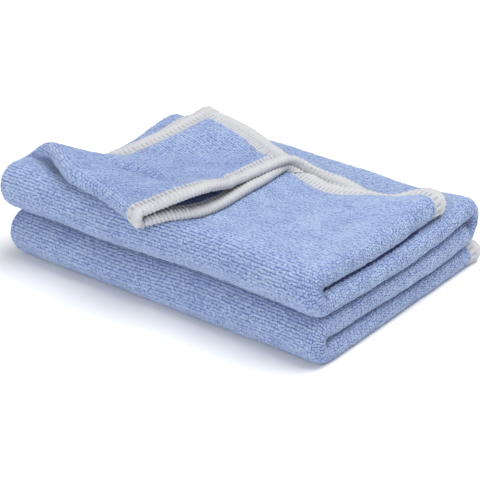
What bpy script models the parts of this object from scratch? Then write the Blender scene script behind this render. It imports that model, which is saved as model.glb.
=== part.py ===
import math

import bmesh
import bpy

# Folded microfibre cloth, in metres. Front is -Y, the long side runs along X,
# and the fold lies flat on z = 0.

LENGTH = 0.138          # folded bundle along X
DEPTH = 0.100           # folded bundle along Y
PANEL_PITCH = 0.00870   # height of one stacked panel
PLY_PITCH = 0.00280     # spacing of the three plies in a panel
CLOTH_T = 0.00180       # thickness of the knitted pile cloth

FOLD_R = PANEL_PITCH / 2
SLAB_HALF = PLY_PITCH + CLOTH_T / 2
FRONT_Y = -DEPTH / 2 + FOLD_R + SLAB_HALF
BACK_Y = DEPTH / 2 - FOLD_R - SLAB_HALF
RIGHT_X = LENGTH / 2 - SLAB_HALF
LEFT_X = -LENGTH / 2 + PLY_PITCH / 2 + CLOTH_T / 2
LOWER_FREE_X = -0.0610  # free side hem of the lower ply
INNER_FREE_X = 0.0595   # free side hem of the middle ply
BASE_HEM_Y = 0.0510     # hem of the bottom panel
TOP_Z = SLAB_HALF + 3 * PANEL_PITCH

# Distance of the top panel's hem from the centre, by ply.
HEM_COLUMNS = ("x", "lower", "middle", "upper")
HEM_ROWS = (
    (-0.066, 0.0440, 0.0325, 0.0325),
    (-0.040, 0.0385, 0.0455, 0.0455),
    (-0.010, 0.0300, 0.0362, 0.0350),
    (0.015, 0.0280, 0.0205, 0.0175),
    (0.035, 0.0280, 0.0225, 0.0122),
    (0.048, 0.0280, 0.0220, 0.0180),
    (0.062, 0.0290, 0.0250, 0.0290),
)

# The two upper plies of the top panel roll forward about a long shallow arc.
ROLL_X = -0.0330        # a point on the roll line
ROLL_Y = -0.0200
ROLL_ANGLE = math.radians(39.0)
ROLL_ARC = 0.228        # radius of the line in plan
ROLL_R_LEFT = 0.0068    # radius of the roll at its two ends
ROLL_R_RIGHT = 0.0047
ROLL_SPAN = (-0.050, 0.070)
ROLL_END_X = (0.036, 0.056)     # the roll dies out to the right
ROLL_START = 0.024      # run from the front fold over which it sets in

# The turned flap in front of the roll.
FLAP_REST = 0.0011      # air under it
FLAP_DROP = 0.0052      # its corner sinks past the front edge
DROP_Y = (-0.0400, -0.0580)
EDGE_PUFF = 0.0006      # the side fold stands a little open
EDGE_X = (-0.052, -0.064)
ARCH_AT = (0.0120, -0.0330)     # the outer ply arches up here
ARCH_REACH = (0.0170, 0.0140)
ARCH_RISE = 0.0042

# Corner of the lower ply that the flap leaves bare: pulled in and lifted.
CORNER_PULL = (0.0110, 0.0, 0.0050)

LOWER_INSET = 0.030     # left end of the two lower panels, a share of X
TOP_INSET = 0.035       # right end of the top panel, a share of X
CENTRE_SHIFT = (0.00082, 0.00070)   # puts the middle of the whole bundle on the origin

# Soft local pulls: centre, reach and shift.
PULL_COLUMNS = ("x", "y", "z", "rx", "ry", "rz", "dx", "dy", "dz")
PULL_ROWS = (
    (-0.074, -0.046, 0.036, 0.026, 0.022, 0.018, -0.0025, -0.0010, 0.0),
)

# Rows and columns of the mesh.
LOWER_STEPS = 10
UPPER_STEPS = 28
MIDDLE_STEPS = 28
FOLD_STEPS = 6
TOP_STEPS = 22
PANEL_STEPS = 3


def ease(v):
    v = min(1.0, max(0.0, v))
    return v * v * (3.0 - 2.0 * v)


def hem_y(x, ply):
    """Smooth curve through one column of the hem table."""
    k = HEM_COLUMNS.index(ply)
    xs = [row[0] for row in HEM_ROWS]
    ys = [row[k] for row in HEM_ROWS]
    x = min(xs[-1], max(xs[0], x))
    i = 0
    while i < len(xs) - 2 and x > xs[i + 1]:
        i += 1
    rises = [(ys[j + 1] - ys[j]) / (xs[j + 1] - xs[j]) for j in range(len(xs) - 1)]
    a = rises[0] if i == 0 else (rises[i - 1] + rises[i]) / 2
    b = rises[-1] if i == len(xs) - 2 else (rises[i] + rises[i + 1]) / 2
    w = xs[i + 1] - xs[i]
    s = (x - xs[i]) / w
    return (
        ys[i] * (2 * s**3 - 3 * s**2 + 1)
        + a * w * (s**3 - 2 * s**2 + s)
        + ys[i + 1] * (3 * s**2 - 2 * s**3)
        + b * w * (s**3 - s**2)
    )


def roll_place(x, y):
    """Distance past the roll line, distance along it, and its outward direction."""
    nx = -math.sin(ROLL_ANGLE)
    ny = math.cos(ROLL_ANGLE)
    ox = ROLL_X - nx * ROLL_ARC
    oy = ROLL_Y - ny * ROLL_ARC
    vx = x - ox
    vy = y - oy
    reach = math.hypot(vx, vy)
    turn = math.atan2(ny, nx) - math.atan2(vy, vx)
    fade = 1.0 - ease((x - ROLL_END_X[0]) / (ROLL_END_X[1] - ROLL_END_X[0]))
    fade *= ease((y - FRONT_Y) / ROLL_START)
    past = (reach - ROLL_ARC) * fade
    return past, turn * ROLL_ARC, vx / reach, vy / reach, ox, oy


def roll_radius(along):
    share = ease((along - ROLL_SPAN[0]) / (ROLL_SPAN[1] - ROLL_SPAN[0]))
    return ROLL_R_LEFT + (ROLL_R_RIGHT - ROLL_R_LEFT) * share


def middle_ply(x, y):
    """Point of the top panel's middle ply at flat (x, y), and how far it is turned."""
    past, along, nx, ny, ox, oy = roll_place(x, y)
    if past <= 0.0:
        return x, y, TOP_Z, 0.0
    r = roll_radius(along)
    base = math.hypot(x - ox, y - oy) - past
    th = min(math.pi, past / r)
    run = r * math.sin(th) - max(0.0, past - math.pi * r)
    px = ox + (base + run) * nx
    py = oy + (base + run) * ny
    turned = ease((past - 2.6 * r) / (1.6 * r))
    drop = FLAP_DROP * ease((DROP_Y[0] - py) / (DROP_Y[0] - DROP_Y[1]))
    return px, py, TOP_Z + r * (1 - math.cos(th)) - turned * drop, turned


def rolled(x, y, lift):
    """Point at flat (x, y), lift above the middle ply along its own normal."""
    px, py, pz, turned = middle_ply(x, y)
    e = 0.0004
    a = middle_ply(x - e, y)
    b = middle_ply(x + e, y)
    c = middle_ply(x, y - e)
    d = middle_ply(x, y + e)
    u = [b[k] - a[k] for k in range(3)]
    v = [d[k] - c[k] for k in range(3)]
    n = (
        u[1] * v[2] - u[2] * v[1],
        u[2] * v[0] - u[0] * v[2],
        u[0] * v[1] - u[1] * v[0],
    )
    size = math.sqrt(n[0] ** 2 + n[1] ** 2 + n[2] ** 2)
    px += lift * n[0] / size
    py += lift * n[1] / size
    pz += lift * n[2] / size
    outer = max(0.0, 1.0 - lift / PLY_PITCH)
    across = (px - ARCH_AT[0]) / ARCH_REACH[0]
    along = (py - ARCH_AT[1]) / ARCH_REACH[1]
    pz += turned * outer * ARCH_RISE * math.exp(-across**2 - along**2)
    return px, py, pz


def flap_gap(x, y):
    """Spacing of the two turned plies: side by side in the roll, open in the flap."""
    past, along = roll_place(x, y)[:2]
    r = roll_radius(along)
    wide = 2 * r - PLY_PITCH - CLOTH_T - FLAP_REST
    puff = ease((EDGE_X[0] - x) / (EDGE_X[0] - EDGE_X[1])) * ease((y - FRONT_Y) / 0.012)
    near = PLY_PITCH + EDGE_PUFF * puff
    return near + max(0.0, wide - near) * ease((past - 2.4 * r) / (3.0 * r))


def top_panel(zone, v, f):
    """Top panel: f is 0 at the front fold and 1 at the hem."""
    if zone == "lower":
        y = FRONT_Y + f * (hem_y(v, "lower") - FRONT_Y)
        w = ease((roll_place(v, y)[0] - 0.006) / 0.055)
        dx, dy, dz = CORNER_PULL
        return v + w * dx, y + w * dy, TOP_Z - PLY_PITCH + w * dz
    if zone == "right":
        y = FRONT_Y + f * (hem_y(RIGHT_X, "upper") - FRONT_Y)
        c = PLY_PITCH
        return RIGHT_X + c * math.sin(v), y, TOP_Z - c * math.cos(v)
    if zone == "upper":
        y = FRONT_Y + f * (hem_y(v, "upper") - FRONT_Y)
        return rolled(v, y, flap_gap(v, y))
    if zone == "left":
        y = FRONT_Y + f * (hem_y(LEFT_X, "upper") - FRONT_Y)
        c = flap_gap(LEFT_X, y) / 2
        return rolled(LEFT_X - c * math.sin(v), y, c + c * math.cos(v))
    y = FRONT_Y + f * (hem_y(v, "middle") - FRONT_Y)
    return rolled(v, y, 0.0)


def ply_section(zone, v):
    """X and height over the panel's middle ply."""
    if zone == "lower":
        return v, -PLY_PITCH
    if zone == "right":
        return RIGHT_X + PLY_PITCH * math.sin(v), -PLY_PITCH * math.cos(v)
    if zone == "upper":
        return v, PLY_PITCH
    if zone == "left":
        c = PLY_PITCH / 2
        return LEFT_X - c * math.sin(v), c + c * math.cos(v)
    return v, 0.0


def zigzag(row, lift):
    """Y and Z of a row of the stack, lift away from the panel's middle ply."""
    kind, level, v = row
    z = SLAB_HALF + level * PANEL_PITCH
    side = 1.0 if level % 2 else -1.0
    if kind == "panel":
        return v, z + side * lift
    r = FOLD_R + lift * side
    if kind == "front":
        r = FOLD_R + lift
        return FRONT_Y - r * math.sin(v), z - FOLD_R + r * math.cos(v)
    r = FOLD_R - lift
    return BACK_Y + r * math.sin(v), z - FOLD_R + r * math.cos(v)


def settle(x, y, z, depth):
    """Small unevenness of the whole stack; none where it meets the surface."""
    if x < 0:
        x *= 1.0 - LOWER_INSET * ease((2.0 - depth) / 1.0)
    else:
        x *= 1.0 - TOP_INSET * ease(depth - 2.0)
    free = ease((z - 0.003) / 0.006)
    px, py, pz = x, y, z
    z += free * 0.0005 * math.sin(px * 62.0 + py * 21.0 + 0.7)
    y += free * 0.0008 * math.sin(px * 48.0 + pz * 60.0)
    x += free * 0.0008 * math.sin(py * 55.0 + pz * 70.0)
    for row in PULL_ROWS:
        cx, cy, cz, rx, ry, rz, dx, dy, dz = row
        e = ((px - cx) / rx) ** 2 + ((py - cy) / ry) ** 2 + ((pz - cz) / rz) ** 2
        w = math.exp(-e)
        x += w * dx
        y += w * dy
        z += w * dz
    return x, y, z


def spread(a, b, n):
    return [a + (b - a) * i / n for i in range(n + 1)]


def columns():
    """Stations across the cloth, from the lower ply's side hem to the middle ply's."""
    out = [("lower", v) for v in spread(LOWER_FREE_X, RIGHT_X, LOWER_STEPS)]
    out += [("right", v) for v in spread(0.0, math.pi, FOLD_STEPS)[1:-1]]
    out += [("upper", v) for v in spread(RIGHT_X, LEFT_X, UPPER_STEPS)]
    out += [("left", v) for v in spread(0.0, math.pi, FOLD_STEPS)[1:-1]]
    out += [("middle", v) for v in spread(LEFT_X, INNER_FREE_X, MIDDLE_STEPS)]
    return out


def rows():
    """Stations along the cloth, from the top panel's hem down to the base's hem."""
    turn = spread(0.0, math.pi, FOLD_STEPS)[1:-1]
    out = [("top", 3, f) for f in spread(1.0, 0.0, TOP_STEPS)]
    out += [("front", 3, v) for v in turn]
    out += [("panel", 2, v) for v in spread(FRONT_Y, BACK_Y, PANEL_STEPS)]
    out += [("back", 2, v) for v in turn]
    out += [("panel", 1, v) for v in spread(BACK_Y, FRONT_Y, PANEL_STEPS)]
    out += [("front", 1, v) for v in turn]
    out += [("panel", 0, v) for v in spread(FRONT_Y, BASE_HEM_Y, PANEL_STEPS)]
    return out


def place(column, row):
    kind, level, v = row
    if kind == "top":
        x, y, z = top_panel(column[0], column[1], v)
    else:
        x, lift = ply_section(*column)
        y, z = zigzag(row, lift)
    depth = level if kind in ("top", "panel") else level - v / math.pi
    x, y, z = settle(x, y, z, depth)
    return x + CENTRE_SHIFT[0], y + CENTRE_SHIFT[1], z


def clear_scene():
    for ob in list(bpy.data.objects):
        bpy.data.objects.remove(ob, do_unlink=True)


def make_material():
    mat = bpy.data.materials.new("blue_pile")
    mat.use_nodes = True
    shader = mat.node_tree.nodes["Principled BSDF"]
    shader.inputs["Base Color"].default_value = (0.26, 0.35, 0.67, 1.0)
    shader.inputs["Roughness"].default_value = 0.95
    return mat


def thin_out(bm, home, across):
    """Drop every other column or more from the flat stretches below the top panel."""
    thin = []
    for e in bm.edges:
        i, j = home[e.verts[0]]
        other_i, other_j = home[e.verts[1]]
        if i != other_i or not 0 < i < len(across) - 1 or min(j, other_j) <= TOP_STEPS:
            continue
        zone = across[i][0]
        every = {"lower": 2, "upper": 4, "middle": 4}.get(zone, 1)
        same = across[i - 1][0] == zone == across[i + 1][0]
        if same and i % every:
            thin.append(e)
    bmesh.ops.dissolve_edges(bm, edges=thin, use_verts=True)


def split_top(bm, home, across):
    """Split the top panel's faces along the roll."""
    first_middle = [column[0] for column in across].index("middle")
    for method in ("FIXED", "ALTERNATE"):
        part = []
        for f in bm.faces:
            on_top = max(home[v][1] for v in f.verts) <= TOP_STEPS
            on_middle = min(home[v][0] for v in f.verts) >= first_middle
            if on_top and on_middle == (method == "ALTERNATE"):
                part.append(f)
        bmesh.ops.triangulate(bm, faces=part, quad_method=method)


def make_cloth(group):
    """A flat grid laid onto the fold, station by station, then given its thickness."""
    across = columns()
    down = rows()
    bm = bmesh.new()
    bmesh.ops.create_grid(
        bm,
        x_segments=len(across) - 1,
        y_segments=len(down) - 1,
        size=1.0,
    )
    home = {}
    for v in bm.verts:
        i = round((v.co.x + 1.0) / 2.0 * (len(across) - 1))
        j = round((v.co.y + 1.0) / 2.0 * (len(down) - 1))
        home[v] = (i, j)
    thin_out(bm, home, across)
    split_top(bm, home, across)
    for v in bm.verts:
        i, j = home[v]
        v.co = place(across[i], down[j])
    bmesh.ops.recalc_face_normals(bm, faces=bm.faces)
    mesh = bpy.data.meshes.new("cloth")
    bm.to_mesh(mesh)
    bm.free()
    mesh.materials.append(make_material())
    cloth = bpy.data.objects.new("cloth", mesh)
    group.objects.link(cloth)
    shell = cloth.modifiers.new("thickness", "SOLIDIFY")
    shell.thickness = CLOTH_T
    shell.offset = 0.0
    shell.use_even_offset = True


def main():
    clear_scene()
    group = bpy.data.collections.new("microfibre_cloth")
    bpy.context.scene.collection.children.link(group)
    make_cloth(group)


main()
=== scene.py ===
import math
import random

import bmesh
import bpy
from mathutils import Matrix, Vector, noise


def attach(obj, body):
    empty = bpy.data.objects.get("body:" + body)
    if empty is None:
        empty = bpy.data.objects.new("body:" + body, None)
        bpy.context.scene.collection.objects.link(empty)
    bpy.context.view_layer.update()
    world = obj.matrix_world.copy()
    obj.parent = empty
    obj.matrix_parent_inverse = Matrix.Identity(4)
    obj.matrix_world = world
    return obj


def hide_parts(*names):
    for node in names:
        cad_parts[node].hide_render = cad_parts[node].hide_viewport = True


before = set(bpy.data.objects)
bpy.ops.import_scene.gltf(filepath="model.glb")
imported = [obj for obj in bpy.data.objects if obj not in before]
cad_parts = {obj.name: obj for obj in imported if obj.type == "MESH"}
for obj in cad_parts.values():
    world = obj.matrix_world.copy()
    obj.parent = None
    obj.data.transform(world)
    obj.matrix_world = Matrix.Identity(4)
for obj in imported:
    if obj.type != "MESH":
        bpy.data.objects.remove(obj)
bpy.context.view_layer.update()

# The fold, in metres: a cloth folded in thirds (three plies), then back and forth (four panels).
fold = {
    "length": 0.138,
    "depth": 0.100,
    "panelPitch": 0.00870,          # from one panel to the next
    "plyPitch": 0.00280,            # from one ply to the next
    "solidThickness": 0.00180,
    "lowerFreeX": -0.0610,          # the side edge of the lower ply
    "innerFreeX": 0.0595,           # the side edge of the ply tucked in the middle
    "baseHemY": 0.0510,
    "straightHemY": 0.0300,         # the top hem, if the cloth were cut straight
    "centreShift": (0.00082, 0.00070),
}

# The two upper plies of the top panel roll forward to the left of a shallow arc.
# From and Over give where a change starts past that arc and how far it runs, in roll radii.
turnedCorner = {
    "arcPoint": (-0.0252, -0.0167),
    "arcAngle": math.radians(39.0),
    "arcRadius": 0.228,
    "rollRadii": (0.0064, 0.0043),  # at the left and right ends of the roll
    "rollSpan": (-0.052, -0.008),   # along the arc, where one passes into the other
    "rollEnd": (0.036, 0.056),      # x where the roll dies out
    "rollStart": 0.024,             # how far in from the front fold it has come up
    "flatFrom": 2.6,
    "flatOver": 1.6,
    "flapRest": 0.0011,             # air left between the flap and the ply under it
    "flapDrop": 0.0028,             # how far the flap's front edge hangs
    "dropY": (-0.0400, -0.0580),
    "gapFrom": 2.4,
    "gapOver": 3.0,
    "edgePuff": 0.0006,
    "puffX": (-0.052, -0.064),
    "puffStart": 0.012,
    "archAt": (0.0120, -0.0374),    # where the upper of the flap's two hems lifts
    "archReach": (0.0170, 0.0140),
    "archRise": 0.0056,
    "cornerPull": (0.0110, 0.0, 0.0050),    # the bared corner, drawn in and up
    "pullFrom": 0.006,              # in metres past the arc
    "pullOver": 0.055,
}

# y of the top panel's hem at x, for each ply
topHem = {
    "x": (-0.066, -0.040, -0.010, 0.015, 0.035, 0.048, 0.062),
    "lower": (0.0440, 0.0385, 0.0300, 0.0255, 0.0225, 0.0215, 0.0290),
    "middle": (0.0229, 0.0392, 0.0276, 0.0194, 0.0222, 0.0220, 0.0250),
    "upper": (0.0229, 0.0394, 0.0308, 0.0160, 0.0118, 0.0180, 0.0290),
}

# soft creases on the turned corner: start and end in plan, half the width, rise
flapCreases = (
    ((-0.042, -0.0315), (-0.002, -0.0330), 0.0022, -0.0010),
    ((-0.036, -0.0275), (0.003, -0.0295), 0.0020, 0.0007),
    ((-0.030, -0.0370), (0.004, -0.0400), 0.0030, 0.0004),
    ((-0.010, -0.0200), (0.012, -0.0180), 0.0024, 0.0006),
)
# slow waves through the stack: shift, waves along x, y and z, phase
waves = (
    ((0.0, 0.0, 0.0005), (62.0, 21.0, 0.0), 0.7),
    ((0.0, 0.0008, 0.0), (48.0, 0.0, 60.0), 0.0),
    ((0.0008, 0.0, 0.0), (0.0, 55.0, 70.0), 0.0),
)
# swells and hollows: centre, reach, shift
swells = (
    ((-0.074, -0.046, 0.036), (0.026, 0.022, 0.018), (-0.0025, -0.0010, 0.0)),
    ((-0.066, -0.047, 0.036), (0.020, 0.014, 0.012), (0.0022, -0.0008, 0.0018)),
    ((-0.062, 0.044, 0.018), (0.030, 0.022, 0.007), (-0.0014, 0.0026, 0.0036)),
    ((0.064, 0.044, 0.022), (0.018, 0.020, 0.010), (0.0006, 0.0006, 0.0018)),
    ((0.052, 0.010, 0.034), (0.012, 0.008, 0.007), (0.0, 0.0, 0.0016)),
    ((0.046, 0.021, 0.034), (0.009, 0.006, 0.007), (0.0, 0.0, -0.0028)),
    ((0.062, 0.023, 0.036), (0.007, 0.012, 0.007), (0.0004, 0.0004, 0.0018)),
)
stack = {
    "lowDrawIn": 0.030,             # how far the low folds stand back at the left
    "highDrawIn": 0.035,            # how far the high folds stand back at the right
    "stillHeight": 0.003,           # nothing moves below this height
    "easeHeight": 0.006,
}
dents = {"size": 0.00045, "wave": 0.021, "seed": 7}
noise.seed_set(dents["seed"])

plyPitch = fold["plyPitch"]
foldRadius = fold["panelPitch"] / 2
slabHalf = plyPitch + fold["solidThickness"] / 2
frontY = -fold["depth"] / 2 + foldRadius + slabHalf
backY = fold["depth"] / 2 - foldRadius - slabHalf
rightX = fold["length"] / 2 - slabHalf
leftX = -fold["length"] / 2 + (plyPitch + fold["solidThickness"]) / 2
topZ = slabHalf + 3 * fold["panelPitch"]


def ease(v):
    v = min(1.0, max(0.0, v))
    return v * v * (3.0 - 2.0 * v)


def hemY(x, ply):
    # a smooth curve through the hem's table
    xs = topHem["x"]
    ys = topHem[ply]
    x = min(xs[-1], max(xs[0], x))
    i = 0
    while i < len(xs) - 2 and x > xs[i + 1]:
        i += 1
    slopes = [(ys[j + 1] - ys[j]) / (xs[j + 1] - xs[j]) for j in range(len(xs) - 1)]
    a = slopes[0] if i == 0 else (slopes[i - 1] + slopes[i]) / 2
    b = slopes[-1] if i == len(xs) - 2 else (slopes[i] + slopes[i + 1]) / 2
    w = xs[i + 1] - xs[i]
    s = (x - xs[i]) / w
    return (
        ys[i] * (2 * s**3 - 3 * s**2 + 1)
        + a * w * (s**3 - 2 * s**2 + s)
        + ys[i + 1] * (3 * s**2 - 2 * s**3)
        + b * w * (s**3 - s**2)
    )


def rollPlace(x, y):
    # distance past the roll line, distance along it, outward direction and the arc's centre
    corner = turnedCorner
    nx = -math.sin(corner["arcAngle"])
    ny = math.cos(corner["arcAngle"])
    ox = corner["arcPoint"][0] - nx * corner["arcRadius"]
    oy = corner["arcPoint"][1] - ny * corner["arcRadius"]
    reach = math.hypot(x - ox, y - oy)
    turn = math.atan2(ny, nx) - math.atan2(y - oy, x - ox)
    endA, endB = corner["rollEnd"]
    fade = 1.0 - ease((x - endA) / (endB - endA))
    fade *= ease((y - frontY) / corner["rollStart"])
    past = (reach - corner["arcRadius"]) * fade
    along = turn * corner["arcRadius"]
    return past, along, (x - ox) / reach, (y - oy) / reach, ox, oy


def rollRadius(along):
    a, b = turnedCorner["rollSpan"]
    left, right = turnedCorner["rollRadii"]
    return left + (right - left) * ease((along - a) / (b - a))


def middlePly(x, y):
    # where a flat spot of the middle ply lies, and how far it is turned over
    past, along, nx, ny, ox, oy = rollPlace(x, y)
    if past <= 0.0:
        return x, y, topZ, 0.0
    r = rollRadius(along)
    base = math.hypot(x - ox, y - oy) - past
    th = min(math.pi, past / r)
    run = r * math.sin(th) - max(0.0, past - math.pi * r)
    px = ox + (base + run) * nx
    py = oy + (base + run) * ny
    turned = ease((past / r - turnedCorner["flatFrom"]) / turnedCorner["flatOver"])
    a, b = turnedCorner["dropY"]
    drop = turnedCorner["flapDrop"] * ease((a - py) / (a - b))
    return px, py, topZ + r * (1 - math.cos(th)) - turned * drop, turned


def creaseRise(x, y):
    # each crease comes in and dies out softly along its length
    rise = 0.0
    for (ax, ay), (bx, by), half, height in flapCreases:
        length = math.hypot(bx - ax, by - ay)
        ux = (bx - ax) / length
        uy = (by - ay) / length
        t = ((x - ax) * ux + (y - ay) * uy) / length
        off = ((y - ay) * ux - (x - ax) * uy) / half
        fade = ease(t / 0.25 + 0.2) * ease((1.0 - t) / 0.2 + 0.4)
        rise += height * fade * math.exp(-off * off)
    return rise


def rolled(x, y, lift):
    # a point over the middle ply's flat (x, y), lifted along its normal
    px, py, pz, turned = middlePly(x, y)
    step = 0.0004
    ax, ay, az = middlePly(x - step, y)[:3]
    bx, by, bz = middlePly(x + step, y)[:3]
    cx, cy, cz = middlePly(x, y - step)[:3]
    dx, dy, dz = middlePly(x, y + step)[:3]
    u = Vector((bx - ax, by - ay, bz - az))
    v = Vector((dx - cx, dy - cy, dz - cz))
    n = u.cross(v).normalized()
    px += lift * n.x
    py += lift * n.y
    pz += lift * n.z
    outer = max(0.0, 1.0 - lift / plyPitch)
    s = (px - turnedCorner["archAt"][0]) / turnedCorner["archReach"][0]
    t = (py - turnedCorner["archAt"][1]) / turnedCorner["archReach"][1]
    pz += turned * outer * turnedCorner["archRise"] * math.exp(-s * s - t * t)
    pz += turned * outer * creaseRise(px, py)
    return px, py, pz


def flapGap(x, y):
    # from the middle ply to the upper one, wider where the flap has turned over
    past, along = rollPlace(x, y)[:2]
    r = rollRadius(along)
    wide = 2 * r - plyPitch - fold["solidThickness"] - turnedCorner["flapRest"]
    a, b = turnedCorner["puffX"]
    puff = ease((a - x) / (a - b)) * ease((y - frontY) / turnedCorner["puffStart"])
    near = plyPitch + turnedCorner["edgePuff"] * puff
    widened = ease((past / r - turnedCorner["gapFrom"]) / turnedCorner["gapOver"])
    return near + max(0.0, wide - near) * widened


def topPanel(zone, v, f):
    # v is a zone's station across, f the share of the way from the front fold to the hem
    if zone == "lower":
        y = frontY + f * (hemY(v, "lower") - frontY)
        w = ease((rollPlace(v, y)[0] - turnedCorner["pullFrom"]) / turnedCorner["pullOver"])
        dx, dy, dz = turnedCorner["cornerPull"]
        return v + w * dx, y + w * dy, topZ - plyPitch + w * dz
    if zone == "right":
        y = frontY + f * (hemY(rightX, "upper") - frontY)
        return rightX + plyPitch * math.sin(v), y, topZ - plyPitch * math.cos(v)
    if zone == "upper":
        y = frontY + f * (hemY(v, "upper") - frontY)
        return rolled(v, y, flapGap(v, y))
    if zone == "left":
        y = frontY + f * (hemY(leftX, "upper") - frontY)
        c = flapGap(leftX, y) / 2
        return rolled(leftX - c * math.sin(v), y, c + c * math.cos(v))
    y = frontY + f * (hemY(v, "middle") - frontY)
    return rolled(v, y, 0.0)


def plySection(zone, v):
    # x and height over the panel's middle ply
    if zone == "lower":
        return v, -plyPitch
    if zone == "right":
        return rightX + plyPitch * math.sin(v), -plyPitch * math.cos(v)
    if zone == "upper":
        return v, plyPitch
    if zone == "left":
        c = plyPitch / 2
        return leftX - c * math.sin(v), c + c * math.cos(v)
    return v, 0.0


def zigzag(kind, level, v, lift):
    # y and z of the panels and of the folds that join them
    z = slabHalf + level * fold["panelPitch"]
    if kind == "panel":
        return v, z + lift * (1.0 if level % 2 else -1.0)
    r = foldRadius + (lift if kind == "front" else -lift)
    if kind == "front":
        return frontY - r * math.sin(v), z - foldRadius + r * math.cos(v)
    return backY + r * math.sin(v), z - foldRadius + r * math.cos(v)


def freeAt(z):
    return ease((z - stack["stillHeight"]) / stack["easeHeight"])


def settle(x, y, z, depth):
    # the stack's small unevenness, none where it meets the surface
    if x < 0:
        x *= 1.0 - stack["lowDrawIn"] * ease(2.0 - depth)
    else:
        x *= 1.0 - stack["highDrawIn"] * ease(depth - 2.0)
    free = freeAt(z)
    px, py, pz = x, y, z
    for (dx, dy, dz), (kx, ky, kz), phase in waves:
        w = free * math.sin(px * kx + py * ky + pz * kz + phase)
        x, y, z = x + dx * w, y + dy * w, z + dz * w
    for (cx, cy, cz), (rx, ry, rz), (dx, dy, dz) in swells:
        w = math.exp(-(((px - cx) / rx) ** 2) - ((py - cy) / ry) ** 2 - ((pz - cz) / rz) ** 2)
        x, y, z = x + dx * w, y + dy * w, z + dz * w
    return x, y, z


def place(zone, v, kind, level, t):
    # any spot of the folded cloth's middle surface
    if kind == "top":
        x, y, z = topPanel(zone, v, t)
    else:
        x, lift = plySection(zone, v)
        y, z = zigzag(kind, level, t, lift)
    depth = level if kind in ("top", "panel") else level - t / math.pi
    x, y, z = settle(x, y, z, depth)
    spot = Vector((x + fold["centreShift"][0], y + fold["centreShift"][1], z))
    dent = noise.noise_vector(spot / dents["wave"]) * dents["size"]
    return spot + dent * freeAt(z)


def spread(a, b, n):
    return [a + (b - a) * i / n for i in range(n + 1)]


acrossZones = ("lower", "right", "upper", "left", "middle")
downZones = (
    ("top", 3), ("front", 3), ("panel", 2), ("back", 2), ("panel", 1), ("front", 1), ("panel", 0),
)
arcLength = math.pi * foldRadius
panelLength = backY - frontY
topLength = fold["straightHemY"] - frontY


def acrossZone(zone):
    # first and last station of a zone and its width on the flat cloth
    if zone == "lower":
        return fold["lowerFreeX"], rightX, rightX - fold["lowerFreeX"]
    if zone == "right":
        return 0.0, math.pi, math.pi * plyPitch
    if zone == "upper":
        return rightX, leftX, rightX - leftX
    if zone == "left":
        return 0.0, math.pi, math.pi * plyPitch / 2
    return leftX, fold["innerFreeX"], fold["innerFreeX"] - leftX


def downZone(kind, level):
    # the same along the length of the cloth
    if kind == "top":
        return 1.0, 0.0, topLength
    if kind in ("front", "back"):
        return 0.0, math.pi, arcLength
    if level == 2:
        return frontY, backY, panelLength
    if level == 1:
        return backY, frontY, panelLength
    return frontY, fold["baseHemY"], fold["baseHemY"] - frontY


def acrossStart(zone):
    before = acrossZones[: acrossZones.index(zone)]
    return sum(acrossZone(z)[2] for z in before)


def downStart(kind, level):
    before = downZones[: downZones.index((kind, level))]
    return sum(downZone(*z)[2] for z in before)


flatWidth = sum(acrossZone(z)[2] for z in acrossZones)
flatDepth = sum(downZone(*z)[2] for z in downZones)


def acrossAt(s):
    # zone and station at a distance across the flat cloth
    s = min(flatWidth, max(0.0, s))
    for zone in acrossZones:
        a, b, size = acrossZone(zone)
        if s <= size or zone == acrossZones[-1]:
            return zone, a + (b - a) * min(1.0, s / size)
        s -= size


def downAt(q):
    q = min(flatDepth, max(0.0, q))
    for kind, level in downZones:
        a, b, size = downZone(kind, level)
        if q <= size or (kind, level) == downZones[-1]:
            return kind, level, a + (b - a) * min(1.0, q / size)
        q -= size


def surfaceAt(s, q):
    return place(*acrossAt(s), *downAt(q))


def surfaceFrame(s, q):
    # point, direction across, direction down and outward normal of the cloth's middle surface
    step = 0.0003
    p = surfaceAt(s, q)
    u = surfaceAt(s + step, q) - surfaceAt(s - step, q)
    v = surfaceAt(s, q + step) - surfaceAt(s, q - step)
    return p, u.normalized(), v.normalized(), u.cross(v).normalized()


def turnsAt(q):
    # how far the cloth has turned about the long folds at q
    kind, level, t = downAt(q)
    if kind == "front":
        return t
    if kind == "back":
        return math.pi - t
    return math.pi if (kind, level) in (("panel", 2), ("panel", 0)) else 0.0


def flatUv(s, q):
    # rows keep their spacing where a ply runs round the outside of a fold
    zone, v = acrossAt(s)
    return s, q + turnsAt(q) * plySection(zone, v)[1]


def stations(zones, start, zoneOf, counts):
    # distances across or down the flat cloth, with a number of steps for each zone
    out = []
    for zone, n in zip(zones, counts):
        first = start(*zone)
        steps = spread(first, first + zoneOf(*zone)[2], n)
        out += [d for d in steps if not out or d > out[-1] + 1e-7]  # zones share their borders
    return out


def homeGrid(bm, across, down):
    # a flat grid added to bm, and the column and row of each of its vertices
    columns = len(across) - 1
    rows = len(down) - 1
    grid = bmesh.ops.create_grid(bm, x_segments=columns, y_segments=rows, size=1.0)
    home = {}
    for vert in grid["verts"]:
        i = round((vert.co.x + 1.0) / 2.0 * columns)
        j = round((vert.co.y + 1.0) / 2.0 * rows)
        home[vert] = (i, j)
    return home


floorGap = 0.00003  # a hair over the surface that the pack rests on


def facesOf(home):
    # a dictionary keeps the faces in one order, so each run draws the same random numbers
    return list(dict.fromkeys(face for vert in home for face in vert.link_faces))


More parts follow.
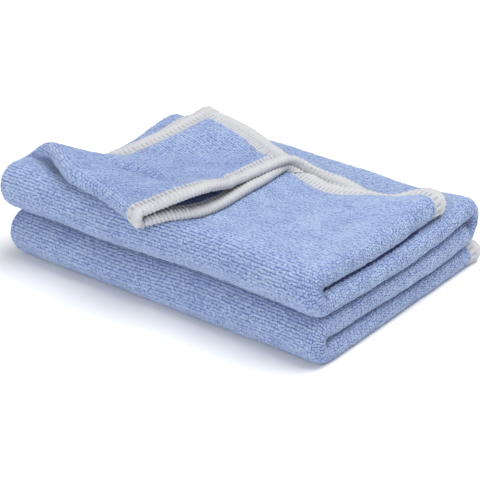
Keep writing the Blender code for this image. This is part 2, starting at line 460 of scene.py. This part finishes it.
def addObject(bm, name, material, lowest=floorGap):
    for face in bm.faces:
        face.smooth = True
    for vert in bm.verts:
        vert.co.z = max(vert.co.z, lowest)  # pressed flat where the pack rests
    mesh = bpy.data.meshes.new(name)
    bm.to_mesh(mesh)
    bm.free()
    mesh.materials.append(material)
    ob = bpy.data.objects.new(name, mesh)
    bpy.context.scene.collection.objects.link(ob)
    return ob


sheet = {
    "acrossSteps": (50, 10, 66, 10, 66),            # one for each zone across
    "downSteps": (56, 12, 22, 12, 22, 12, 22),      # one for each zone down
    "thickness": 0.0019,
    "loopSize": 0.0012,
    "light": (0.20, 0.27, 0.56),
    # painted shade in the gaps between the loops
    "loopGapShade": (0.045, 0.07, 0.26),
}


def makeSheet(material):
    across = stations([(z,) for z in acrossZones], acrossStart, acrossZone, sheet["acrossSteps"])
    down = stations(downZones, downStart, downZone, sheet["downSteps"])
    bm = bmesh.new()
    home = homeGrid(bm, across, down)
    uvLayer = bm.loops.layers.uv.new("flat")
    for face in bm.faces:
        for loop in face.loops:
            i, j = home[loop.vert]
            loop[uvLayer].uv = flatUv(across[i], down[j])
    for vert, (i, j) in home.items():
        vert.co = surfaceAt(across[i], down[j])
    ob = addObject(bm, "clothSheet", material, sheet["thickness"] / 2 + floorGap)
    shell = ob.modifiers.new("thickness", "SOLIDIFY")
    shell.thickness = sheet["thickness"]
    shell.offset = 0.0
    shell.use_even_offset = True
    return ob


pile = {
    "cellAcross": 0.00092,
    "cellDown": 0.00114,
    "topStretch": 1.12,     # the top panel runs on past its straight hem, and so do its rows
    "root": 0.00006,        # the loops start this far under the sheet's face
    "height": 0.00046,
    "heightRange": (-0.35, 0.20),
    "groove": 0.00020,
    "jitter": 0.12,         # of a cell, at the corners where four loops meet
    "lean": 0.22,           # every other row leans the other way, in cells
    "wander": 0.20,
    "joined": 0.22,         # how far the loops of a row reach over to each other
    "parted": 0.06,         # how far two rows draw apart
    "longest": 2.2,         # no loop reaches further than this, in rows
    "patchSize": 0.0085,    # the pile lies lighter and darker in patches this wide
    "patchRise": 0.25,
    "patchTint": 0.16,
    "tipRange": (0.74, 1.0),
    "tipLeast": 0.5,
    "turnedCornerShade": 0.86,      # painted shade: the turned corner's loop tips are darkened, as it lies away from the light
    "underBand": 0.0004,    # how far the pile runs in under the edging
    # painted shade in the grooves between the loops
    "grooveShadeColour": (0.036, 0.066, 0.34),
    "tipColour": (0.39, 0.495, 0.69),
}

# where the pile comes into sight; the first three in roll radii past the roll's arc
shown = {
    "middleFrom": 0.2,
    "upperTo": 2.6,
    "bareFrom": 0.3,
    "underHem": 0.004,
    "behindY": 0.014,
    "leftX": -0.052,
}


def hemOf(zone, v):
    # station and table column of the hem above a spot
    x = {"right": rightX, "left": leftX}.get(zone, v)
    return x, zone if zone in ("lower", "middle") else "upper"


def edgeReach(s, q):
    # distance in from the nearest edge of the cloth
    reach = min(s, flatWidth - s, flatDepth - q)
    kind, level, f = downAt(q)
    if kind == "top":
        reach = min(reach, (1.0 - f) * (hemY(*hemOf(*acrossAt(s))) - frontY))
    return reach


def outerStations(names, zonesDown):
    # cell borders at an even spacing on the cloth's outer face
    half = sheet["thickness"] / 2
    across = []
    for zone in names:
        size = acrossZone(zone)[2]
        if zone == "right":
            size = math.pi * (plyPitch + half)
        if zone == "left":
            size = math.pi * (plyPitch / 2 + half)
        across.append(max(2, round(size / pile["cellAcross"])))
    down = []
    for kind, level in zonesDown:
        size = downZone(kind, level)[2]
        if kind == "top":
            size *= pile["topStretch"]
        if kind in ("front", "back"):
            size = math.pi * (foldRadius + plyPitch + half)
        down.append(max(2, round(size / pile["cellDown"])))
    return (
        stations([(z,) for z in names], acrossStart, acrossZone, across),
        stations(zonesDown, downStart, downZone, down),
    )


def addPile(bm, names, zonesDown, inside, keep, dice):
    # a cell for each loop, laid over the sheet's face and raised from it
    across, down = outerStations(names, zonesDown)
    home = homeGrid(bm, across, down)
    uvLayer = bm.loops.layers.uv["flat"]
    loopToneAndShade = bm.verts.layers.float_color["loopToneAndShade"]
    cells = {}
    drop = []
    clear = edging["bandReach"] - pile["underBand"]
    for face in facesOf(home):
        i = min(home[v][0] for v in face.verts)
        j = min(home[v][1] for v in face.verts)
        s = (across[i] + across[i + 1]) / 2
        q = (down[j] + down[j + 1]) / 2
        if edgeReach(s, q) < clear or not keep(s, q):
            drop.append(face)
        else:
            cells[face] = (s, q, j)
        for loop in face.loops:
            a, b = home[loop.vert]
            loop[uvLayer].uv = flatUv(across[a], down[b])
    bmesh.ops.delete(bm, geom=drop, context="FACES")
    for vert, (i, j) in home.items():
        if not vert.is_valid:
            continue
        p, u, v, n = surfaceFrame(across[i], down[j])
        if inside:
            n = -n
        p += u * dice.uniform(-1, 1) * pile["jitter"] * pile["cellAcross"]
        p += v * dice.uniform(-1, 1) * pile["jitter"] * pile["cellDown"]
        vert.co = p + n * (sheet["thickness"] / 2 - pile["root"])
        # the loop roots take the painted groove shade
        vert[loopToneAndShade] = (0.0, 0.0, 0.0, 1.0)
    if inside:
        bmesh.ops.reverse_faces(bm, faces=list(cells))
    bm.normal_update()
    bmesh.ops.inset_individual(
        bm,
        faces=list(cells),
        thickness=pile["groove"],
        depth=pile["height"],
        use_even_offset=False,
    )
    for face, (s, q, j) in cells.items():
        p, u, v, _ = surfaceFrame(s, q)
        flat = Vector((*flatUv(s, q), 0.0)) / pile["patchSize"]
        patch = noise.noise(flat) + 0.6 * noise.noise(flat * 3.1)  # wide patches with finer ones
        side = pile["lean"] if j % 2 else -pile["lean"]
        side += dice.uniform(-1, 1) * pile["wander"]
        shift = u * side * pile["cellAcross"]
        shift += v * dice.uniform(-1, 1) * pile["wander"] * pile["cellDown"]
        rise = dice.uniform(*pile["heightRange"]) + pile["patchRise"] * patch
        shift += face.normal * rise * pile["height"]
        tip = dice.uniform(*pile["tipRange"]) + pile["patchTint"] * patch
        tip = min(1.0, max(pile["tipLeast"], tip))
        # painted shade on the turned corner
        if acrossAt(s)[0] == "middle":
            tip *= pile["turnedCornerShade"]
        centre = face.calc_center_median()
        for vert in face.verts:
            arm = vert.co - centre
            vert.co += shift + u * (arm.dot(u) * pile["joined"])
            vert.co -= v * (arm.dot(v) * pile["parted"])
            if (vert.co - p).length > pile["longest"] * pile["cellDown"]:
                vert.co = p + face.normal * sheet["thickness"] / 2
            vert[loopToneAndShade] = (tip, dice.random(), 0.0, 1.0)


def newPileMesh():
    bm = bmesh.new()
    bm.loops.layers.uv.new("flat")
    bm.verts.layers.float_color.new("loopToneAndShade")
    return bm


def turnedAt(s, q):
    # how many roll radii a spot on the top panel is past the roll line
    kind, level, f = downAt(q)
    if kind != "top":
        return 0.0
    x, ply = hemOf(*acrossAt(s))
    y = frontY + f * (hemY(x, ply) - frontY)
    past, along = rollPlace(x, y)[:2]
    return past / rollRadius(along)


def topShows(s, q):
    # the upper ply up to the turn, and the middle ply from the turn on
    zone = acrossAt(s)[0]
    if zone == "middle":
        return turnedAt(s, q) > shown["middleFrom"]
    if zone == "upper":
        return turnedAt(s, q) < shown["upperTo"]
    return True


def bareShows(s, q):
    # the lower ply's inner face, where the turned corner and the two hems leave it bare
    x = acrossAt(s)[1]
    f = downAt(q)[2]
    y = frontY + f * (hemY(x, "lower") - frontY)
    return turnedAt(s, q) > shown["bareFrom"] or y > hemY(x, "middle") - shown["underHem"]


def behindShows(s, q):
    # the second panel comes out from under the top one near the back fold
    kind, level, y = downAt(q)
    return kind == "back" or y > shown["behindY"]


def leftShows(s, q):
    # beyond the lower ply's edge, the second panel's middle ply comes into sight
    return acrossAt(s)[1] < shown["leftX"]


def always(s, q):
    return True


def makeTopPile(material, dice):
    bm = newPileMesh()
    addPile(bm, ("right", "upper", "left"), downZones[:2], False, topShows, dice)
    addPile(bm, ("middle",), downZones[:1], False, topShows, dice)
    return addObject(bm, "topPile", material)


def makeStackPile(material, dice):
    bm = newPileMesh()
    below = downZones[2:]
    second = downZones[2:4]
    addPile(bm, ("right",), below, False, always, dice)
    addPile(bm, ("left",), below, False, always, dice)
    addPile(bm, ("upper",), (("front", 1),), False, always, dice)
    addPile(bm, ("lower",), second, False, behindShows, dice)
    addPile(bm, ("lower",), downZones[:1], True, bareShows, dice)
    addPile(bm, ("middle",), second, False, leftShows, dice)
    return addObject(bm, "stackPile", material)


edging = {
    "stitch": 0.0017,
    "samples": 4,           # steps to a stitch
    "hiddenSamples": 2,     # on the side that is tucked away
    "bandReach": 0.0074,
    "sideLift": 0.00008,    # the side bands lie over the hems at the corners
    "uneven": 0.07,         # how much one stitch stands prouder than the next
    "ripple": 0.05,
    "scallop": 0.45,        # how far the edge draws in between two stitches
    "edgeReach": -0.075,    # how far the thread wraps past the cloth's edge, in band widths
    "slotDepth": 0.0003,    # where more than this is lost, the gap between stitches is painted in shade
    # one face's cross-section, from the band's inner side out to the edge: distance in from
    # the edge in band widths, height, and height lost between two stitches
    "section": (
        (1.00, 0.00092, 0.0),
        (0.98, 0.00132, 0.00006),
        (0.94, 0.00144, 0.00006),
        (0.90, 0.00142, 0.00040),
        (0.78, 0.00146, 0.00044),
        (0.64, 0.00150, 0.00044),
        (0.53, 0.00152, 0.00040),
        (0.49, 0.00160, 0.00014),
        (0.38, 0.00176, 0.00018),
        (0.24, 0.00180, 0.00020),
        (0.10, 0.00154, 0.00018),
        (-0.03, 0.00096, 0.00010),
    ),
    "thread": (0.52, 0.525, 0.54),
    # painted shade in the gap between two stitches
    "slotShade": (0.31, 0.31, 0.36),
}


def bandPlace(route, d, w):
    # flat place of a spot d along an edge of the cloth and w in from it
    if route == "topHem":
        return d, w * topLength / (hemY(*hemOf(*acrossAt(d))) - frontY)
    if route == "baseHem":
        return d, flatDepth - w
    if route == "outerSide":
        return w, d
    return flatWidth - w, d


def addBand(bm, route, length, samples, lift, dice):
    # a closed band of stitches round one edge, on both of the cloth's faces
    uvLayer = bm.loops.layers.uv["thread"]
    slotShade = bm.verts.layers.float_color["slotShade"]
    stitches = round(length / edging["stitch"])
    along = spread(0.0, length, stitches * samples)
    proud = [1.0 + edging["uneven"] * dice.uniform(-1, 1) for i in range(stitches + 1)]
    face = [(reach, height + lift, loss) for reach, height, loss in edging["section"]]
    ring = [(1.0, 0.0, 0.0), *face, (edging["edgeReach"], 0.0, 0.0)]
    ring += [(reach, -height, -loss) for reach, height, loss in reversed(face)]
    ring.append((1.0, 0.0, 0.0))
    home = homeGrid(bm, along, ring)
    for vert, (i, j) in home.items():
        reach, height, loss = ring[j]
        phase = 2 * math.pi * i / samples
        between = 0.5 - 0.5 * math.cos(phase)
        w = reach * edging["bandReach"]
        p, u, v, n = surfaceFrame(*bandPlace(route, along[i], max(0.0, w)))
        if w < 0:
            w *= 1.0 + edging["scallop"] * math.cos(phase)
            inward = {"topHem": v, "baseHem": -v, "outerSide": u, "innerSide": -u}[route]
            p = p + inward * w
        bulge = proud[round(i / samples)] + edging["ripple"] * math.cos(phase)
        vert.co = p + n * (height * bulge - loss * between)
        # the mask of the painted shade in the deep gaps between stitches
        vert[slotShade] = (between if abs(loss) > edging["slotDepth"] else 0.0, 0.0, 0.0, 1.0)
    for band in facesOf(home):
        for loop in band.loops:
            i, j = home[loop.vert]
            loop[uvLayer].uv = (along[i] / edging["stitch"], j / (len(ring) - 1))
    seam = [v for v, (i, j) in home.items() if j in (0, len(ring) - 1)]
    bmesh.ops.remove_doubles(bm, verts=seam, dist=0.00001)
    bmesh.ops.holes_fill(bm, edges=[e for e in bm.edges if e.is_boundary])


def makeEdging(material, dice):
    bm = bmesh.new()
    bm.loops.layers.uv.new("thread")
    bm.verts.layers.float_color.new("slotShade")
    samples = edging["samples"]
    lift = edging["sideLift"]
    addBand(bm, "topHem", flatWidth, samples, 0.0, dice)
    addBand(bm, "baseHem", flatWidth, samples, 0.0, dice)
    addBand(bm, "outerSide", flatDepth, samples, lift, dice)
    addBand(bm, "innerSide", flatDepth, edging["hiddenSamples"], lift, dice)
    bmesh.ops.recalc_face_normals(bm, faces=bm.faces)
    return addObject(bm, "edging", material)


def newMaterial(name, roughness, sheen):
    mat = bpy.data.materials.new(name)
    mat.use_nodes = True
    shader = mat.node_tree.nodes["Principled BSDF"]
    shader.inputs["Roughness"].default_value = roughness
    shader.inputs["Sheen Weight"].default_value = sheen
    return mat, shader


def newBlueMaterial(name):
    mat, shader = newMaterial(name, 0.95, 0.35)
    shader.inputs["Sheen Roughness"].default_value = 0.5
    shader.inputs["Sheen Tint"].default_value = (0.75, 0.82, 1.0, 1.0)
    return mat, shader


def addUv(mat, name):
    uv = mat.node_tree.nodes.new("ShaderNodeUVMap")
    uv.uv_map = name
    return uv.outputs["UV"]


def addAttribute(mat, name):
    # the red channel of a piece's own colour attribute
    nodes = mat.node_tree.nodes
    attribute = nodes.new("ShaderNodeAttribute")
    attribute.attribute_name = name
    parts = nodes.new("ShaderNodeSeparateColor")
    mat.node_tree.links.new(attribute.outputs["Color"], parts.inputs["Color"])
    return parts.outputs["Red"]


def addShade(mat, shader, amount, start, startColour, end, endColour):
    links = mat.node_tree.links
    shade = mat.node_tree.nodes.new("ShaderNodeValToRGB")
    low, high = shade.color_ramp.elements
    low.position = start
    low.color = (*startColour, 1)
    high.position = end
    high.color = (*endColour, 1)
    links.new(amount, shade.inputs["Fac"])
    links.new(shade.outputs["Color"], shader.inputs["Base Color"])


def addBump(mat, shader, height, strength, distance):
    links = mat.node_tree.links
    bump = mat.node_tree.nodes.new("ShaderNodeBump")
    bump.inputs["Strength"].default_value = strength
    bump.inputs["Distance"].default_value = distance
    links.new(height, bump.inputs["Height"])
    links.new(bump.outputs["Normal"], shader.inputs["Normal"])
    return bump


def makeSheetMaterial():
    # small round loops, for the cloth where it carries no pile of its own, with painted shade in
    # the gaps between them
    mat, shader = newBlueMaterial("bluePile")
    loops = mat.node_tree.nodes.new("ShaderNodeTexVoronoi")
    loops.feature = "SMOOTH_F1"
    loops.inputs["Scale"].default_value = 1 / sheet["loopSize"]
    loops.inputs["Randomness"].default_value = 0.55
    loops.inputs["Smoothness"].default_value = 0.25
    mat.node_tree.links.new(addUv(mat, "flat"), loops.inputs["Vector"])
    # light loop centres, painted shade darkening the gaps between loops
    addShade(mat, shader, loops.outputs["Distance"], 0.12, sheet["light"], 0.75, sheet["loopGapShade"])
    addBump(mat, shader, loops.outputs["Distance"], 0.8, 0.0006).invert = True
    return mat


def makeLoopMaterial():
    # painted shade: dark in the grooves at the loops' roots, pale at the tips of the loops
    mat, shader = newBlueMaterial("blueLoops")
    amount = addAttribute(mat, "loopToneAndShade")
    addShade(mat, shader, amount, 0.0, pile["grooveShadeColour"], 1.0, pile["tipColour"])
    return mat


def makeThreadMaterial():
    # strands across each stitch, and painted grey shade in the gap between two stitches
    mat, shader = newMaterial("whiteThread", 0.7, 0.2)
    nodes = mat.node_tree.nodes
    links = mat.node_tree.links
    amount = addAttribute(mat, "slotShade")
    addShade(mat, shader, amount, 0.45, edging["thread"], 1.0, edging["slotShade"])
    stretch = nodes.new("ShaderNodeMapping")
    stretch.inputs["Scale"].default_value = (5.0, 26.0, 1.0)
    links.new(addUv(mat, "thread"), stretch.inputs["Vector"])
    strands = nodes.new("ShaderNodeTexNoise")
    strands.inputs["Scale"].default_value = 1.0
    strands.inputs["Detail"].default_value = 2.0
    links.new(stretch.outputs["Vector"], strands.inputs["Vector"])
    addBump(mat, shader, strands.outputs["Fac"], 0.55, 0.0003)
    return mat


studio = {
    "floorHalf": 3.0,
    "floorColour": (0.95, 0.95, 0.95),
    "skyColour": (0.97, 0.98, 1.0),
    "skyStrength": 0.42,
}

# name, place, size, power, colour
softLights = (
    ("topSoftbox", (0.32, 0.32, 1.2), 1.2, 16.5, (1.0, 1.0, 1.0)),
    ("frontFill", (0.15, -1.1, 0.50), 0.9, 6.5, (0.94, 0.96, 1.0)),
)


def makeFloor():
    bm = bmesh.new()
    bmesh.ops.create_grid(bm, x_segments=1, y_segments=1, size=studio["floorHalf"])
    mesh = bpy.data.meshes.new("floor")
    bm.to_mesh(mesh)
    bm.free()
    mat, shader = newMaterial("floorWhite", 0.9, 0.0)
    shader.inputs["Base Color"].default_value = (*studio["floorColour"], 1)
    mesh.materials.append(mat)
    floor = bpy.data.objects.new("floor", mesh)
    bpy.context.scene.collection.objects.link(floor)


photoView = {
    "azimuth": 37.806,
    "elevation": 26.268,
    "distance": 0.600,
    "target": (0.00167, -0.00205, 0.00854),
    "lens": 125.14,
    "sensor": 36.0,
}


def makeCamera():
    az = math.radians(photoView["azimuth"])
    el = math.radians(photoView["elevation"])
    back = Vector((math.sin(az) * math.cos(el), -math.cos(az) * math.cos(el), math.sin(el)))
    cam = bpy.data.cameras.new("photoCamera")
    cam.sensor_width = photoView["sensor"]
    cam.lens = photoView["lens"]
    cam.clip_start = 0.01
    camOb = bpy.data.objects.new("photoCamera", cam)
    camOb.location = Vector(photoView["target"]) + back * photoView["distance"]
    camOb.rotation_euler = back.to_track_quat("Z", "Y").to_euler()
    bpy.context.scene.collection.objects.link(camOb)
    bpy.context.scene.camera = camOb


def addLight(name, place, size, power, colour):
    # a round soft light that faces the cloth
    light = bpy.data.lights.new(name, "AREA")
    light.shape = "DISK"
    light.size = size
    light.energy = power
    light.color = colour
    ob = bpy.data.objects.new(name, light)
    ob.location = place
    ob.rotation_euler = Vector(place).to_track_quat("Z", "Y").to_euler()
    bpy.context.scene.collection.objects.link(ob)


def makeLights():
    world = bpy.data.worlds.new("studio")
    world.use_nodes = True
    sky = world.node_tree.nodes["Background"]
    sky.inputs["Color"].default_value = (*studio["skyColour"], 1)
    sky.inputs["Strength"].default_value = studio["skyStrength"]
    bpy.context.scene.world = world
    for light in softLights:
        addLight(*light)
    bpy.context.scene.view_settings.view_transform = "Standard"


print("camera, lights and floor")
makeCamera()
makeLights()
makeFloor()

print("cloth sheet")
dice = random.Random(7)
cloth = makeSheet(makeSheetMaterial())

print("pile loops")
blueLoops = makeLoopMaterial()
topPile = makeTopPile(blueLoops, dice)
stackPile = makeStackPile(blueLoops, dice)

print("edging")
hem = makeEdging(makeThreadMaterial(), dice)

for piece in (cloth, topPile, stackPile, hem):
    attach(piece, "root")
    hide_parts("cloth")
    print(piece.name, sum(len(p.vertices) - 2 for p in piece.data.polygons), "triangles")
